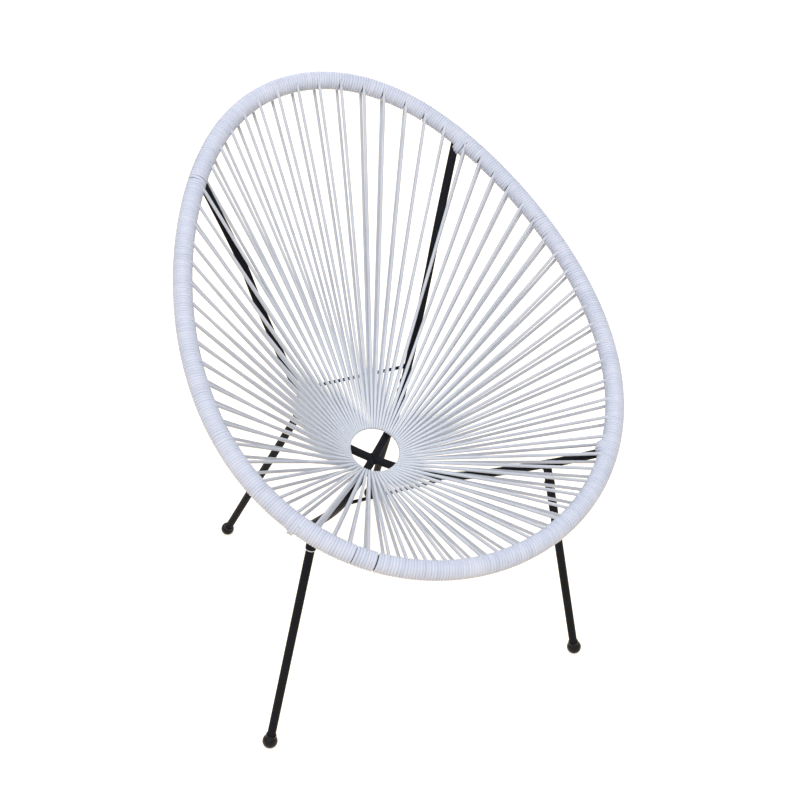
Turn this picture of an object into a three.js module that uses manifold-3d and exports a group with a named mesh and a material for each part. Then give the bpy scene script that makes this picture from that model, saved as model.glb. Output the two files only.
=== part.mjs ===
// Acapulco chair: an egg-shaped steel hoop wound with cord, a cord web strung from
// the hoop to a small centre ring, and a black rod frame on four screw-in legs.
// Millimetres, +Z up. The sitter faces -Y, and +X is to the right in a front view.
// The origin is on the floor, in the middle of the chair's outer box.

import * as THREE from 'three';
import { mergeVertices } from 'three/addons/utils/BufferGeometryUtils.js';
import Module from 'manifold-3d';

const wasm = await Module();
wasm.setup();

// Clearances shared by every joint
const fitGap = 0.3;
const cutOverrun = 4;

// Egg-shaped hoop: a tilted plane curve, narrow at the back and wide at the front
const hoopTubeRadius = 10.9;
const hoopWall = 1.5;
const hoopSides = 8;
const hoopBoreSides = 6;
const hoopVentRadius = 2;
const hoopTilt = THREE.MathUtils.degToRad(36.2);
const hoopCentreY = -24.7;
const hoopCentreZ = 698;
const hoopHalfWidth = 320.6;
const hoopBackNarrowing = 54;
const hoopWidthRounding = 12.8;
const hoopHalfLength = 426.9;
const hoopLengthShift = 47.6;
const hoopLengthRounding = 6.4;
const hoopDish = 3.4;
const hoopDivisions = 1440;

// Angles round the hoop, from its back, where the frame's bars are welded on
const rearWeldAngle = THREE.MathUtils.degToRad(58);
const frontWeldAngle = THREE.MathUtils.degToRad(143.5);

// Cord
const cordRadius = 2;
const cordSides = 4;
const woundSides = 10;
const squareAsRoundShare = Math.sqrt(Math.PI / 2);

// Centre ring
const ringRodRadius = 3;
const ringRadius = 48.5;
const ringTilt = THREE.MathUtils.degToRad(30);
const ringCentreY = 9;
const ringCentreZ = 370;
const ringSides = 6;

// Cord stations on each stretch of the hoop between welds, and the bare margins beside a weld
const backStations = 14;
const sideStations = 18;
const frontStations = 20;
const backWeldMargin = 26;
const sideRearMargin = 22;
const sideFrontMargin = 15;
const frontWeldMargin = 18;
const backPanels = 3;
const sidePanels = 3;
const frontPanels = 4;
const loopSteps = 3;

// Frame bars: two bent rods that cross under the centre ring. A bend has its share of the
// straight way from a weld to the ring, its depth behind that line, and its drift along
// the hoop, towards the front
const barRadius = 7;
const barSides = 10;
const barSteps = 34;
const barUpperShare = 0.29;
const barUpperDepth = 9;
const barMiddleShare = 0.48;
const barMiddleDepth = 25;
const rearTieShare = 0.78;
const rearTieDepth = 43;
const rearTieDrift = -3;
const barBendShare = 0.96;
const barBendDepth = 38;
const barBendDrift = -6;
const crossingDepth = 23.5;
const crossingForward = 4;
const frontTieShare = 0.855;
const frontTieDepth = 38;
const frontLegShare = 0.31;
const frontLegDepth = 26;
const frontLegDrift = 2.5;
const frontWeldDepth = 7;

// Tie rods between the bars
const tieRadius = 3;
const smallSides = 8;
const frontTiePast = 6;

// Legs: a socket welded to the bar, a washer, a screw-in leg and a ball foot
const legRadius = 7;
const legSides = 12;
const socketLength = 46;
const collarRadius = 8.4;
const collarHeight = 9;
const socketBoreRadius = 4.6;
const socketBoreDepth = 24;
const washerRadius = 8;
const washerHoleRadius = 4.6;
const washerThickness = 1.6;
const studRadius = 4;
const studLength = 20;
const legChamfer = 1;
const footRadius = 12.5;
const footRings = 8;
const footCentreZ = 10.5;
const footBoreDepth = 4;
const frontFootX = 285;
const frontFootY = -208;
const rearFootX = 154;
const rearFootY = 392;
const rearLegDrop = 25;

function paint(color, roughness, metalness) {
  return new THREE.MeshStandardMaterial({ color, roughness, metalness });
}
const cordMaterial = paint(0xe3e6f0, 0.5, 0);
const frameMaterial = paint(0x1b1b1f, 0.45, 0.2);
const zincMaterial = paint(0xb9bcc0, 0.35, 0.9);
const footMaterial = paint(0x141416, 0.7, 0);

const chair = new THREE.Group();

function addPiece(name, solid, material) {
  const mesh = solid.getMesh();
  const geometry = new THREE.BufferGeometry();
  const positions = new Float32Array(mesh.vertProperties);
  geometry.setAttribute('position', new THREE.BufferAttribute(positions, 3));
  geometry.setIndex(new THREE.BufferAttribute(new Uint32Array(mesh.triVerts), 1));
  const piece = new THREE.Mesh(geometry, material);
  piece.name = name;
  chair.add(piece);
}

// A manifold solid from any closed three.js geometry
function solidFrom(geometry) {
  const bare = geometry.clone();
  bare.deleteAttribute('normal');
  bare.deleteAttribute('uv');
  const merged = mergeVertices(bare);
  return new wasm.Manifold(new wasm.Mesh({
    numProp: 3,
    vertProperties: new Float32Array(merged.attributes.position.array),
    triVerts: new Uint32Array(merged.index.array),
  }));
}

// A solid skinned over rings of points, which all turn the same way round the path
function solidFromRings(rings, closed) {
  const sides = rings[0].length;
  const positions = rings.flat().flatMap((point) => [point.x, point.y, point.z]);
  const faces = [];
  const spans = closed ? rings.length : rings.length - 1;
  for (let i = 0; i < spans; i++) {
    const near = i * sides;
    const far = ((i + 1) % rings.length) * sides;
    for (let k = 0; k < sides; k++) {
      const next = (k + 1) % sides;
      faces.push(near + k, near + next, far + next, near + k, far + next, far + k);
    }
  }
  if (!closed) {
    const last = (rings.length - 1) * sides;
    for (let k = 1; k < sides - 1; k++) {
      faces.push(0, k + 1, k, last, last + k, last + k + 1);
    }
  }
  return new wasm.Manifold(new wasm.Mesh({
    numProp: 3,
    vertProperties: new Float32Array(positions),
    triVerts: new Uint32Array(faces),
  }));
}

// A ring of points about a centre; across and up are turned so that the ring faces along across x up
function ringOfPoints(centre, across, up, radius, sides) {
  const points = [];
  for (let k = 0; k < sides; k++) {
    const angle = (2 * Math.PI * (k + 1 / 2)) / sides;
    points.push(centre.clone()
      .addScaledVector(across, radius * Math.cos(angle))
      .addScaledVector(up, radius * Math.sin(angle)));
  }
  return points;
}

// A round rod through points that lie near one plane, whose normal is given
function rodThrough(points, planeNormal, radius, sides) {
  const rings = points.map((point, i) => {
    const before = points[Math.max(i - 1, 0)];
    const after = points[Math.min(i + 1, points.length - 1)];
    const along = after.clone().sub(before).normalize();
    const up = planeNormal.clone().addScaledVector(along, -planeNormal.dot(along)).normalize();
    const across = up.clone().cross(along);
    return ringOfPoints(point, across, up, radius, sides);
  });
  return solidFromRings(rings, false);
}

// A turned solid placed with its axis from one point towards another
function turnedAlong(profile, from, towards, sides) {
  const geometry = new THREE.LatheGeometry(profile.map(([r, h]) => new THREE.Vector2(r, h)), sides);
  const axis = towards.clone().sub(from).normalize();
  const turn = new THREE.Quaternion().setFromUnitVectors(new THREE.Vector3(0, 1, 0), axis);
  geometry.applyQuaternion(turn);
  geometry.translate(from.x, from.y, from.z);
  return solidFrom(geometry);
}

// The hoop's centreline
const hoopNormal = new THREE.Vector3(0, -Math.sin(hoopTilt), Math.cos(hoopTilt));
const hoopRise = new THREE.Vector3(0, Math.cos(hoopTilt), Math.sin(hoopTilt));
const hoopCentre = new THREE.Vector3(0, hoopCentreY, hoopCentreZ);

class HoopCurve extends THREE.Curve {
  getPoint(t) {
    const angle = 2 * Math.PI * t;
    const side = hoopHalfWidth * Math.sin(angle) - hoopBackNarrowing * Math.sin(2 * angle)
      + hoopWidthRounding * Math.sin(3 * angle);
    const rise = hoopHalfLength * Math.cos(angle) - hoopLengthShift * Math.cos(2 * angle)
      + hoopLengthRounding * Math.cos(3 * angle);
    return new THREE.Vector3(side, 0, 0)
      .add(hoopCentre)
      .addScaledVector(hoopRise, rise)
      .addScaledVector(hoopNormal, hoopDish * Math.cos(2 * angle));
  }
}

const hoopCurve = new HoopCurve();
hoopCurve.arcLengthDivisions = hoopDivisions;
const hoopLengths = hoopCurve.getLengths();
const hoopLength = hoopLengths.at(-1);

// Length along the hoop, from its back, of an angle about its centre
function hoopLengthAt(angle) {
  const index = (angle / (2 * Math.PI)) * hoopDivisions;
  const low = Math.floor(index);
  return THREE.MathUtils.lerp(hoopLengths[low], hoopLengths[low + 1], index - low);
}

// Centre, direction and cross-section axes at a length along the hoop
function hoopFrame(length) {
  const share = THREE.MathUtils.euclideanModulo(length / hoopLength, 1);
  const t = hoopCurve.getUtoTmapping(share);
  const step = 1 / hoopDivisions;
  const along = hoopCurve.getPoint(t + step).sub(hoopCurve.getPoint(t - step)).normalize();
  const up = hoopNormal.clone().addScaledVector(along, -hoopNormal.dot(along)).normalize();
  const across = up.clone().cross(along);
  return { centre: hoopCurve.getPoint(t), along, up, across };
}

function hoopRing(length, radius, sides) {
  const { centre, across, up } = hoopFrame(length);
  return ringOfPoints(centre, across, up, radius, sides);
}

// Stretches of the hoop between welds, each split into panels of cord
const rearWeldLength = hoopLengthAt(rearWeldAngle);
const frontWeldLength = hoopLengthAt(frontWeldAngle);
const stretches = [
  { name: 'right', from: rearWeldLength, to: frontWeldLength,
    stations: sideStations, panels: sidePanels,
    startMargin: sideRearMargin, endMargin: sideFrontMargin },
  { name: 'front', from: frontWeldLength, to: hoopLength - frontWeldLength,
    stations: frontStations, panels: frontPanels,
    startMargin: frontWeldMargin, endMargin: frontWeldMargin },
  { name: 'left', from: hoopLength - frontWeldLength, to: hoopLength - rearWeldLength,
    stations: sideStations, panels: sidePanels,
    startMargin: sideFrontMargin, endMargin: sideRearMargin },
  { name: 'back', from: hoopLength - rearWeldLength, to: hoopLength + rearWeldLength,
    stations: backStations, panels: backPanels,
    startMargin: backWeldMargin, endMargin: backWeldMargin },
];

function stationLengths(stretch) {
  const first = stretch.from + stretch.startMargin;
  const last = stretch.to - stretch.endMargin;
  return Array.from({ length: stretch.stations }, (_, i) => (
    THREE.MathUtils.lerp(first, last, i / (stretch.stations - 1))
  ));
}

const panels = [];
for (const stretch of stretches) {
  const stations = stationLengths(stretch);
  for (let i = 0; i < stretch.panels; i++) {
    const first = Math.round((i * stations.length) / stretch.panels);
    const end = Math.round(((i + 1) * stations.length) / stretch.panels);
    const own = stations.slice(first, end);
    panels.push({
      name: `cord_web_${stretch.name}_${i + 1}`,
      from: i === 0 ? stretch.from : (stations[first - 1] + stations[first]) / 2,
      to: i === stretch.panels - 1 ? stretch.to : (stations[end - 1] + stations[end]) / 2,
      stations: own,
      betweens: own.slice(1).map((length, k) => (own[k] + length) / 2),
    });
  }
}
const stationCount = panels.reduce((count, panel) => count + panel.stations.length, 0);

// The centre ring, with one place on it for each cord loop
const ringNormal = new THREE.Vector3(0, -Math.sin(ringTilt), Math.cos(ringTilt));
const ringRise = new THREE.Vector3(0, Math.cos(ringTilt), Math.sin(ringTilt));
const ringCentre = new THREE.Vector3(0, ringCentreY, ringCentreZ);

function ringFrame(angle) {
  const outward = new THREE.Vector3(Math.sin(angle), 0, 0).addScaledVector(ringRise, Math.cos(angle));
  const centre = ringCentre.clone().addScaledVector(outward, ringRadius);
  const along = outward.clone().cross(ringNormal);
  return { centre, along, outward };
}

// The cord's two strands at a station: over the hoop's front, round the ring, under the hoop's back
const hoopCordRadius = hoopTubeRadius + fitGap + cordRadius;
const ringCordRadius = ringRodRadius + fitGap + cordRadius;

function stationEnds(length, ringAngle) {
  const hoop = hoopFrame(length);
  const ring = ringFrame(ringAngle);
  const inward = ring.centre.clone().sub(hoop.centre).normalize();
  const hoopFace = inward.clone().cross(hoop.along).normalize();
  const ringFace = inward.clone().cross(ring.along).normalize();
  return { hoop, ring, hoopFace, ringFace };
}

function cordHairpin(length, ringAngle) {
  const { hoop, ring, hoopFace, ringFace } = stationEnds(length, ringAngle);
  const points = [hoop.centre.clone().addScaledVector(hoopFace, hoopCordRadius)];
  const holeward = ring.along.clone().cross(ringFace);
  const cornerRadius = ringCordRadius / Math.cos(Math.PI / (2 * loopSteps));
  for (let i = 0; i < loopSteps; i++) {
    const angle = (Math.PI * (i + 1 / 2)) / loopSteps;
    points.push(ring.centre.clone()
      .addScaledVector(ringFace, cornerRadius * Math.cos(angle))
      .addScaledVector(holeward, cornerRadius * Math.sin(angle)));
  }
  points.push(hoop.centre.clone().addScaledVector(hoopFace, -hoopCordRadius));
  return rodThrough(points, ring.along, cordRadius * squareAsRoundShare, cordSides);
}

// A point behind the web, on or near the line from a weld to the centre ring
function webPoint(angle, side, share = 0, depth = 0, drift = 0) {
  const length = side * hoopLengthAt(angle);
  const towardsRing = Math.atan2(side * Math.sin(angle), Math.cos(angle));
  const { hoop, ring, hoopFace } = stationEnds(length, towardsRing);
  return hoop.centre.clone().lerp(ring.centre, share)
    .addScaledVector(hoopFace, -depth)
    .addScaledVector(hoop.along, side * drift);
}

function rearTiePoint(side) {
  return webPoint(rearWeldAngle, side, rearTieShare, rearTieDepth, rearTieDrift);
}

function frontTiePoint(side) {
  return webPoint(frontWeldAngle, side, frontTieShare, frontTieDepth);
}

function frontLegPoint(side) {
  return webPoint(frontWeldAngle, side, frontLegShare, frontLegDepth, frontLegDrift);
}

// Bars, from the rear of one side to the front of the other
function barCurve(rearSide) {
  const crossing = ringCentre.clone()
    .addScaledVector(ringNormal, -crossingDepth)
    .addScaledVector(ringRise, -crossingForward);
  return new THREE.CatmullRomCurve3([
    webPoint(rearWeldAngle, rearSide),
    webPoint(rearWeldAngle, rearSide, barUpperShare, barUpperDepth),
    webPoint(rearWeldAngle, rearSide, barMiddleShare, barMiddleDepth),
    rearTiePoint(rearSide),
    webPoint(rearWeldAngle, rearSide, barBendShare, barBendDepth, barBendDrift),
    crossing,
    frontTiePoint(-rearSide),
    frontLegPoint(-rearSide),
    webPoint(frontWeldAngle, -rearSide, 0, frontWeldDepth),
  ], false, 'centripetal');
}

// The curve's own measure, from 0 to 1, at two of its nine points
const rearTieCurveShare = 3 / 8;
const crossingCurveShare = 5 / 8;

function barSolid(curve, radius, from = 0, to = 1) {
  const steps = Math.ceil(barSteps * (to - from));
  const points = Array.from({ length: steps + 1 }, (_, i) => (
    curve.getPoint(THREE.MathUtils.lerp(from, to, i / steps))
  ));
  return rodThrough(points, new THREE.Vector3(0, 1, 0), radius, barSides);
}

const throughCurve = barCurve(-1);
const cutCurve = barCurve(1);
const throughBar = barSolid(throughCurve, barRadius);
const throughRoom = barSolid(throughCurve, barRadius + fitGap);
const cutRearRoom = barSolid(cutCurve, barRadius + fitGap, 0, crossingCurveShare);
const cutFrontRoom = barSolid(cutCurve, barRadius + fitGap, crossingCurveShare, 1);

// Inside radius of what fits round the hoop, which has the hoop's own number of sides
const hoopRoomRadius = hoopTubeRadius + fitGap / Math.cos(Math.PI / hoopSides);

// Lengths along the hoop where its skin gets a ring of points
const hoopStops = panels.flatMap((panel) => [panel.from, ...panel.betweens]);

function hoopSkin(radius, sides) {
  return solidFromRings(hoopStops.map((length) => hoopRing(length, radius, sides)), true);
}

function buildHoop() {
  const tube = hoopSkin(hoopTubeRadius, hoopSides);
  const hollow = hoopSkin(hoopTubeRadius - hoopWall, hoopBoreSides);
  const { centre, across } = hoopFrame(hoopLength / 2);
  const ventEnd = centre.clone().addScaledVector(across, -(hoopTubeRadius + cutOverrun));
  const vent = rodThrough([centre, ventEnd], hoopNormal, hoopVentRadius, smallSides);
  addPiece('rim_hoop', tube.subtract(hollow).subtract(vent), frameMaterial);
}

function buildCentreRing() {
  const rings = [];
  for (let i = 0; i < stationCount; i++) {
    const { centre, outward } = ringFrame((2 * Math.PI * i) / stationCount);
    rings.push(ringOfPoints(centre, outward, ringNormal, ringRodRadius, ringSides));
  }
  addPiece('centre_ring', solidFromRings(rings, true), zincMaterial);
}

// Angle on the ring of the first station of the first panel, with the stations spread evenly
function ringAngleOf(index) {
  const backHalf = backStations / 2;
  return (2 * Math.PI * (index + backHalf + 1 / 2)) / stationCount;
}

function buildWebPanel(panel, firstIndex, barRooms) {
  const stops = [panel.from + fitGap / 2, ...panel.betweens, panel.to - fitGap / 2];
  const joints = [panel.from, ...panel.betweens, panel.to];
  const bore = [panel.from - cutOverrun, ...joints, panel.to + cutOverrun];
  const woundRadius = hoopTubeRadius + fitGap + 2 * cordRadius;
  let web = solidFromRings(stops.map((length) => hoopRing(length, woundRadius, woundSides)), false);
  panel.stations.forEach((length, i) => {
    web = web.add(cordHairpin(length, ringAngleOf(firstIndex + i)));
  });
  const boreRings = bore.map((length) => hoopRing(length, hoopRoomRadius, hoopSides));
  web = web.subtract(solidFromRings(boreRings, false));
  for (const barRoom of barRooms) {
    web = web.subtract(barRoom);
  }
  addPiece(panel.name, web, cordMaterial);
}

function buildBars() {
  const hoopRoom = hoopSkin(hoopRoomRadius, hoopSides);
  addPiece('seat_bar_through', largestBody(throughBar.subtract(hoopRoom)), frameMaterial);
  const rearHalf = barSolid(cutCurve, barRadius, 0, crossingCurveShare);
  const rearCoped = rearHalf.subtract(throughRoom).subtract(hoopRoom);
  addPiece('seat_bar_rear_half', largestBody(rearCoped), frameMaterial);
  const frontHalf = barSolid(cutCurve, barRadius, crossingCurveShare, 1);
  const frontCoped = frontHalf.subtract(throughRoom).subtract(hoopRoom);
  addPiece('seat_bar_front_half', largestBody(frontCoped), frameMaterial);
}

function buildTies(barRooms) {
  const upright = new THREE.Vector3(0, 0, 1);
  let rearTie = rodThrough([rearTiePoint(-1), rearTiePoint(1)], upright, tieRadius, smallSides);
  for (const barRoom of barRooms) {
    rearTie = rearTie.subtract(barRoom);
  }
  addPiece('tie_rod_rear', rearTie, frameMaterial);
  const frontEnds = [-1, 1].map((side) => frontTiePoint(side)
    .add(new THREE.Vector3(side * frontTiePast, 0, -(barRadius + tieRadius + fitGap))));
  let frontTie = rodThrough(frontEnds, upright, tieRadius, smallSides);
  for (const barRoom of barRooms) {
    frontTie = frontTie.subtract(barRoom);
  }
  addPiece('tie_rod_front', frontTie, frameMaterial);
}

// One leg from its place on a bar to its foot
function buildLeg(place, top, foot, barRooms) {
  const along = foot.clone().sub(top).normalize();
  const washerTop = top.clone().addScaledVector(along, socketLength + fitGap);
  const legStart = socketLength + washerThickness + 2 * fitGap;
  const legEnd = top.distanceTo(foot) + footBoreDepth - fitGap;

  const socketProfile = [
    [0, 0],
    [legRadius, 0],
    [legRadius, socketLength - collarHeight - legChamfer],
    [collarRadius, socketLength - collarHeight],
    [collarRadius, socketLength],
    [socketBoreRadius, socketLength],
    [socketBoreRadius, socketLength - socketBoreDepth],
    [0, socketLength - socketBoreDepth],
  ];
  let socket = turnedAlong(socketProfile, top, foot, legSides);
  for (const barRoom of barRooms) {
    socket = socket.subtract(barRoom);
  }
  addPiece(`leg_socket_${place}`, largestBody(socket), frameMaterial);

  const washerProfile = [
    [washerHoleRadius, 0],
    [washerRadius, 0],
    [washerRadius, washerThickness],
    [washerHoleRadius, washerThickness],
    [washerHoleRadius, 0],
  ];
  const washer = turnedAlong(washerProfile, washerTop, foot, legSides);
  addPiece(`leg_washer_${place}`, washer, zincMaterial);

  const legProfile = [
    [0, legStart - studLength],
    [studRadius, legStart - studLength],
    [studRadius, legStart],
    [legRadius - legChamfer, legStart],
    [legRadius, legStart + legChamfer],
    [legRadius, legEnd],
    [0, legEnd],
  ];
  addPiece(`leg_${place}`, turnedAlong(legProfile, top, foot, legSides), frameMaterial);

  const ball = new THREE.SphereGeometry(footRadius, legSides, footRings);
  ball.rotateX(Math.PI / 2);
  ball.translate(foot.x, foot.y, foot.z);
  const boreProfile = [
    [0, -footBoreDepth],
    [legRadius + fitGap, -footBoreDepth],
    [legRadius + fitGap, footRadius + cutOverrun],
    [0, footRadius + cutOverrun],
  ];
  const floorSize = 2 * (footRadius + cutOverrun);
  const floor = new THREE.BoxGeometry(floorSize, floorSize, floorSize);
  floor.translate(foot.x, foot.y, -floorSize / 2);
  const bored = solidFrom(ball).subtract(turnedAlong(boreProfile, foot, top, legSides));
  addPiece(`foot_cap_${place}`, bored.subtract(solidFrom(floor)), footMaterial);
}

// The piece that is left below a bar once a socket's top has been coped to fit it
function largestBody(solid) {
  return solid.decompose().sort((a, b) => b.volume() - a.volume())[0];
}

// A point on a bar at a height above the floor, searched for behind the crossing
function barPointAtHeight(curve, height) {
  let low = rearTieCurveShare;
  let high = crossingCurveShare;
  for (let i = 0; i < barSteps; i++) {
    const middle = (low + high) / 2;
    if (curve.getPoint(middle).z > height) {
      low = middle;
    } else {
      high = middle;
    }
  }
  return curve.getPoint(low);
}

buildHoop();
buildCentreRing();
const barRooms = [throughRoom, cutRearRoom, cutFrontRoom];
let stationIndex = 0;
for (const panel of panels) {
  buildWebPanel(panel, stationIndex, barRooms);
  stationIndex += panel.stations.length;
}
buildBars();
buildTies(barRooms);
for (const [name, side] of [['left', -1], ['right', 1]]) {
  const frontTop = frontLegPoint(side);
  const frontFoot = new THREE.Vector3(side * frontFootX, frontFootY, footCentreZ);
  buildLeg(`front_${name}`, frontTop, frontFoot, barRooms);
  const rearLegHeight = rearTiePoint(side).z - rearLegDrop;
  const rearTop = barPointAtHeight(side < 0 ? throughCurve : cutCurve, rearLegHeight);
  const rearFoot = new THREE.Vector3(side * rearFootX, rearFootY, footCentreZ);
  buildLeg(`rear_${name}`, rearTop, rearFoot, barRooms);
}

// The middle of the outer box goes over the origin
const outerBox = new THREE.Box3().setFromObject(chair);
chair.position.y = -(outerBox.min.y + outerBox.max.y) / 2;

export default chair;
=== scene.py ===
import math

import bpy
import numpy as np
from mathutils import Matrix, Vector


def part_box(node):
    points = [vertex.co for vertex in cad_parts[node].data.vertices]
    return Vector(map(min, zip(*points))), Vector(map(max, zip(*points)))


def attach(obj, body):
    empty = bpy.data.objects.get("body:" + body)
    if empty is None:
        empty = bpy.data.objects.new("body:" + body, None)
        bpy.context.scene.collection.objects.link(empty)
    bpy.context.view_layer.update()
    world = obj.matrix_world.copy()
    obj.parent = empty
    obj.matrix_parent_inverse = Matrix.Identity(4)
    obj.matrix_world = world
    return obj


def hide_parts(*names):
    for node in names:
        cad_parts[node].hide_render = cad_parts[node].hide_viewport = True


# Looks for the acapulco chair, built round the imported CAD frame.
# Sizes are in millimetres until a mesh is made, and angles are in degrees.

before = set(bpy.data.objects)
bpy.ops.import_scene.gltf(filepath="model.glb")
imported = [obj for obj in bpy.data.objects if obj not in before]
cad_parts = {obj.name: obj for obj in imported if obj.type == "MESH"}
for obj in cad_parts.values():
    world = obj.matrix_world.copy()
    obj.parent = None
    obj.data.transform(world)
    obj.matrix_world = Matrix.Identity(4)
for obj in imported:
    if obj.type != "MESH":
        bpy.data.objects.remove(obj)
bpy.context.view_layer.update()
print("frame loaded")

mm = 0.001
body = "root"


def unit(vector):
    return vector / np.linalg.norm(vector, axis=-1, keepdims=True)


def dotted(a, b):
    return (a * b).sum(-1, keepdims=True)


def eased(value):
    value = np.clip(value, 0.0, 1.0)
    return value * value * (3 - 2 * value)


# Steel ring in the middle of the web
ring = dict(
    rodRadius=3.0, radius=48.5, tilt=30.0, centreY=9.0, centreZ=370.0,
    segments=96, sides=12,
)
# Steel tube that the web hangs in: an egg-shaped hoop, wider at the front, with its four welds
hoop = dict(
    tubeRadius=10.9, tilt=36.2, centreY=-24.7, centreZ=698.0,
    halfWidth=320.6, backNarrowing=54.0, widthRounding=12.8,
    halfLength=426.9, lengthShift=47.6, lengthRounding=6.4, dish=3.4,
    rearWeld=58.0, frontWeld=143.5, divisions=2880, segments=360, sides=24,
)

# The CAD model's outer box is centred on the origin, so its ring tells how far it was moved
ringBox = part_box("centre_ring")
ringMiddle = (ringBox[0][1] + ringBox[1][1]) / 2
shift = np.array([0.0, ringMiddle / mm - ring["centreY"], 0.0])

hoopTilt = math.radians(hoop["tilt"])
hoopNormal = np.array([0.0, -math.sin(hoopTilt), math.cos(hoopTilt)])
hoopRise = np.array([0.0, math.cos(hoopTilt), math.sin(hoopTilt)])
hoopCentre = np.array([0.0, hoop["centreY"], hoop["centreZ"]]) + shift
ringTilt = math.radians(ring["tilt"])
ringNormal = np.array([0.0, -math.sin(ringTilt), math.cos(ringTilt)])
ringRise = np.array([0.0, math.cos(ringTilt), math.sin(ringTilt)])
ringCentre = np.array([0.0, ring["centreY"], ring["centreZ"]]) + shift


def hoopPoints(angle):
    angle = np.asarray(angle, float)[..., None]
    side = (hoop["halfWidth"] * np.sin(angle) - hoop["backNarrowing"] * np.sin(2 * angle)
            + hoop["widthRounding"] * np.sin(3 * angle))
    rise = (hoop["halfLength"] * np.cos(angle) - hoop["lengthShift"] * np.cos(2 * angle)
            + hoop["lengthRounding"] * np.cos(3 * angle))
    dish = hoop["dish"] * np.cos(2 * angle)
    return hoopCentre + side * np.array([1.0, 0.0, 0.0]) + rise * hoopRise + dish * hoopNormal


hoopAngles = np.linspace(0.0, 2 * math.pi, hoop["divisions"] + 1)
hoopSteps = np.linalg.norm(np.diff(hoopPoints(hoopAngles), axis=0), axis=1)
hoopLengths = np.concatenate([[0.0], np.cumsum(hoopSteps)])
hoopLength = hoopLengths[-1]


def hoopLengthAt(degrees):
    return float(np.interp(math.radians(degrees), hoopAngles, hoopLengths))


# Middle of the tube, its direction, and the two axes of its cross-section
def hoopFrames(length):
    angle = np.interp(np.mod(length, hoopLength), hoopLengths, hoopAngles)
    step = 2 * math.pi / hoop["divisions"]
    along = unit(hoopPoints(angle + step) - hoopPoints(angle - step))
    front = unit(hoopNormal - dotted(hoopNormal, along) * along)
    inner = -np.cross(front, along)
    return hoopPoints(angle), along, front, inner


def ringFrame(angle):
    outward = np.array([math.sin(angle), 0.0, 0.0]) + math.cos(angle) * ringRise
    return ringCentre + ring["radius"] * outward, np.cross(outward, ringNormal), outward


# Where a strand that runs to the ring touches the hoop's front, as a turn about the tube
def strandEnds(length, ringAngle):
    centre, along, front, inner = hoopFrames(length)
    ringPoint, ringAlong, outward = ringFrame(ringAngle)
    inward = unit(ringPoint - centre)
    hoopFace = unit(np.cross(inward, along))
    turn = math.atan2(float(hoopFace @ inner), float(hoopFace @ front))
    ringFace = unit(np.cross(inward, ringAlong))
    return dict(centre=centre, along=along, turn=turn, hoopFace=hoopFace,
                ringPoint=ringPoint, ringAlong=ringAlong, ringFace=ringFace)


# The same at an angle on the hoop, on the right for side 1 and on the left for side -1
def endsAtWeld(degrees, side, along=0.0):
    angle = math.radians(degrees)
    length = side * (hoopLengthAt(degrees) + along)
    return strandEnds(length, math.atan2(side * math.sin(angle), math.cos(angle)))


# The cord: wound round the whole hoop, and run to the ring and back at every station
web = dict(
    cordRadius=2.6, sides=10, stepsPerTurn=18, loopSteps=8, seat=0.2,
    lumpSteps=13,                # sections in which a lump tapers towards the tube
    outerRadius=15.2,            # over the wound cord
    pressed=1.01,                # a wound turn is pressed wider than a free strand
    squeezed=0.74,               # and the loops on the ring squeeze each other narrower
    pitch=4.24,                  # hoop length that one turn takes
    leaving=0.03, arriving=0.9,  # shares of a strand between which it has its free width
    handShift=1.5,               # how far a hand-wound strand may sit from its even place
    unevenness=0.16,             # and how far a wound turn may
    lean=(0.4, 0.5),             # shares of a pitch that turns lean to close up beside a pair
    leanRise=1.4, leanReach=6.0,  # how soon they do round the tube, and turns it lasts
    oneMore=0.35,                # a stretch this much of a turn short still takes one turn more
    splits=((0.5726, 2.2), (0.5862, 1.2), (0.879, 2.3)),  # places where turns part: hoop share, gap
    partedOver=0.5,              # share of a pitch over which such a gap opens
    seed=11,
)
stretches = (             # name, stations, panels, bare margins beside the welds
    ("right", 18, 3, 22.0, 15.0),
    ("front", 20, 4, 18.0, 18.0),
    ("left", 18, 3, 15.0, 22.0),
    ("back", 14, 3, 26.0, 26.0),
)
# Lumps where the cord also goes round the end of a welded bar. Each lies along the hoop from
# its weld, and in towards the ring or in front of the web by so much.
lumps = (
    dict(weld="rearWeld", side=1, along=17.0, inwards=11.0, before=0.0,
         radius=9.4, near=5.0, far=13.0),
    dict(weld="frontWeld", side=1, along=3.0, inwards=7.0, before=4.0,
         radius=10.0, near=3.0, far=14.0),
    dict(weld="frontWeld", side=-1, along=-8.0, inwards=-3.5, before=-9.4,
         radius=5.4, near=2.0, far=7.0),
)

# Each strand of a pair stands this far off the pair's middle, along the hoop
pairOffset = web["pitch"] / 4
rearLength = hoopLengthAt(hoop["rearWeld"])
frontLength = hoopLengthAt(hoop["frontWeld"])
stretchEnds = (
    (rearLength, frontLength),
    (frontLength, hoopLength - frontLength),
    (hoopLength - frontLength, hoopLength - rearLength),
    (hoopLength - rearLength, hoopLength + rearLength),
)
stationCount = sum(stretch[1] for stretch in stretches)
backCount = stretches[-1][1]
handWork = np.random.default_rng(web["seed"])
panels, stations = [], []
for (name, count, panelCount, before, after), (start, end) in zip(stretches, stretchEnds):
    even = np.linspace(start + before, end - after, count)
    for i in range(panelCount):
        first = round(i * count / panelCount)
        last = round((i + 1) * count / panelCount)
        panels.append(dict(
            name=f"{name}_{i + 1}",
            start=start if i == 0 else (even[first - 1] + even[first]) / 2,
            end=end if i == panelCount - 1 else (even[last - 1] + even[last]) / 2,
        ))
    for length in even:
        ringAngle = 2 * math.pi * (len(stations) + backCount / 2 + 0.5) / stationCount
        placed = length + handWork.uniform(-web["handShift"], web["handShift"])
        stations.append(dict(length=placed, lean=handWork.uniform(*web["lean"]),
                             **strandEnds(placed, ringAngle)))


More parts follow.
